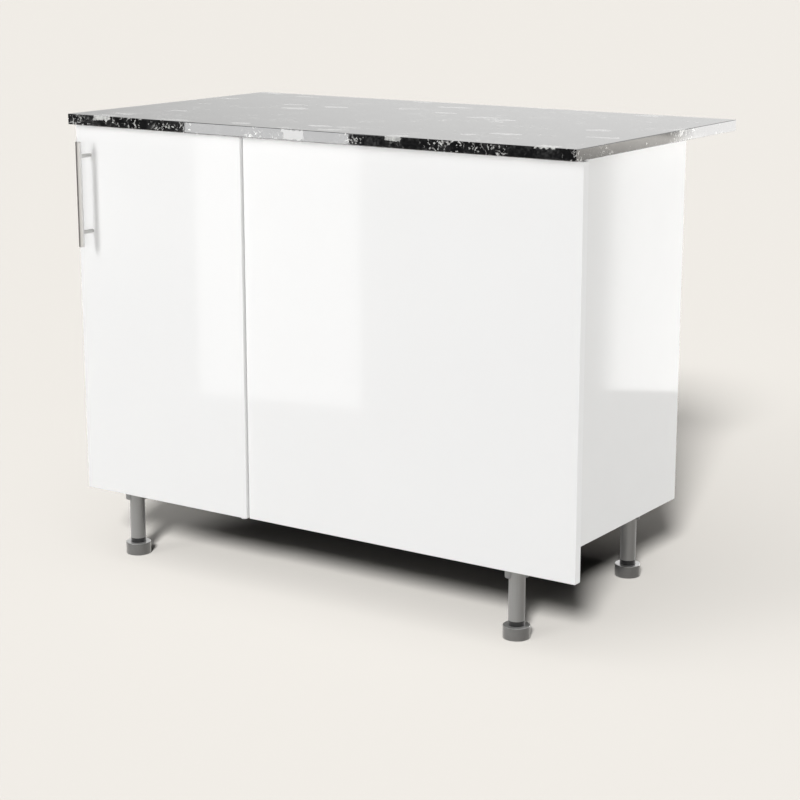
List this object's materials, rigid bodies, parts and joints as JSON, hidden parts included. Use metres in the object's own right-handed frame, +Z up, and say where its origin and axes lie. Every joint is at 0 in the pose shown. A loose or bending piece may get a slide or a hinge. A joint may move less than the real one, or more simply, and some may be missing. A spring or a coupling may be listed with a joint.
{
  "type": "corner base cabinet",
  "caption": "White gloss corner base cabinet with a bar-handled door, a fixed blind panel, a black stone worktop and adjustable steel legs.",
  "frame": {"origin": "on the floor, under the middle of the overall box of worktop, handle and cabinet", "axes": "+X to the right of someone facing the front, +Y from the front to the back, +Z up"},
  "size_m": [1.1, 0.618, 0.885],
  "materials": {
    "front_lacquer": "high-gloss white lacquer on board",
    "carcass_white": "satin white melamine on chipboard",
    "back_board": "matt white thin hardboard",
    "worktop_stone": "polished black stone with white and grey flecks and veins",
    "satin_steel": "satin",
    "foot_chrome": "bright plating with a fine turned grain",
    "socket_grey": "satin cast grey",
    "zinc_steel": "bright zinc plate",
    "cast_zinc": "plain casting",
    "beech": "fluted raw beech",
    "brass": "turned",
    "bush_nylon": "natural nylon",
    "catch_plastic": "fine-grained white plastic",
    "magnet_ferrite": "dark ground ferrite",
    "buffer_rubber": "clear soft silicone look",
    "insert_plastic": "black moulded plastic"
  },
  "bodies": {
    "cabinet": {"blind_panel": "front_lacquer", "left_side": "carcass_white", "right_side": "carcass_white", "bottom_panel": "carcass_white", "front_rail": "carcass_white", "rear_rail": "carcass_white", "front_post": "carcass_white", "shelf": "carcass_white", "back_panel": "back_board", "worktop": "worktop_stone", "leg_tube_fl": "satin_steel", "leg_tube_fr": "satin_steel", "leg_tube_rl": "satin_steel", "leg_tube_rr": "satin_steel", "leg_socket_fl": "socket_grey", "leg_socket_fr": "socket_grey", "leg_socket_rl": "socket_grey", "leg_socket_rr": "socket_grey", "shelf_pins": "zinc_steel", "cam_bolts": "zinc_steel", "panel_brackets": "zinc_steel", "bracket_screws": "zinc_steel", "worktop_bolts": "zinc_steel", "lower_pivot_plate": "zinc_steel", "upper_pivot_plate": "zinc_steel", "lower_pivot_pin": "zinc_steel", "upper_pivot_pin": "zinc_steel", "pivot_plate_screws": "zinc_steel", "catch_screws": "zinc_steel", "leg_screws": "zinc_steel", "cam_locks": "cast_zinc", "wood_dowels": "beech", "worktop_anchors": "brass", "catch_body": "catch_plastic", "catch_magnet": "magnet_ferrite", "door_buffers": "buffer_rubber", "leg_insert_fl": "insert_plastic", "leg_insert_fr": "insert_plastic", "leg_insert_rl": "insert_plastic", "leg_insert_rr": "insert_plastic"},
    "door_leaf": {"door": "front_lacquer", "lower_pivot_bush": "bush_nylon", "upper_pivot_bush": "bush_nylon", "handle_bar": "satin_steel", "handle_post_lower": "satin_steel", "handle_post_upper": "satin_steel", "handle_screws": "zinc_steel", "strike_plate": "zinc_steel", "strike_screws": "zinc_steel"},
    "foot_fl": {"leg_stud_fl": "zinc_steel", "leg_foot_fl": "foot_chrome"},
    "foot_fr": {"leg_stud_fr": "zinc_steel", "leg_foot_fr": "foot_chrome"},
    "foot_rl": {"leg_stud_rl": "zinc_steel", "leg_foot_rl": "foot_chrome"},
    "foot_rr": {"leg_stud_rr": "zinc_steel", "leg_foot_rr": "foot_chrome"}
  },
  "joints": [
    {"name": "door_swing", "type": "hinge", "parent": "cabinet", "child": "door_leaf", "pos_m": [-0.16206, -0.26449, 0.505], "axis": [0, 0, 1], "range_deg": [0, 100]},
    {"name": "foot_level_fl", "type": "slide", "parent": "cabinet", "child": "foot_fl", "axis": [0, 0, 1], "range_m": [-0.01, 0.005]},
    {"name": "foot_level_fr", "type": "slide", "parent": "cabinet", "child": "foot_fr", "axis": [0, 0, 1], "range_m": [-0.01, 0.005]},
    {"name": "foot_level_rl", "type": "slide", "parent": "cabinet", "child": "foot_rl", "axis": [0, 0, 1], "range_m": [-0.01, 0.005]},
    {"name": "foot_level_rr", "type": "slide", "parent": "cabinet", "child": "foot_rr", "axis": [0, 0, 1], "range_m": [-0.01, 0.005]}
  ]
}
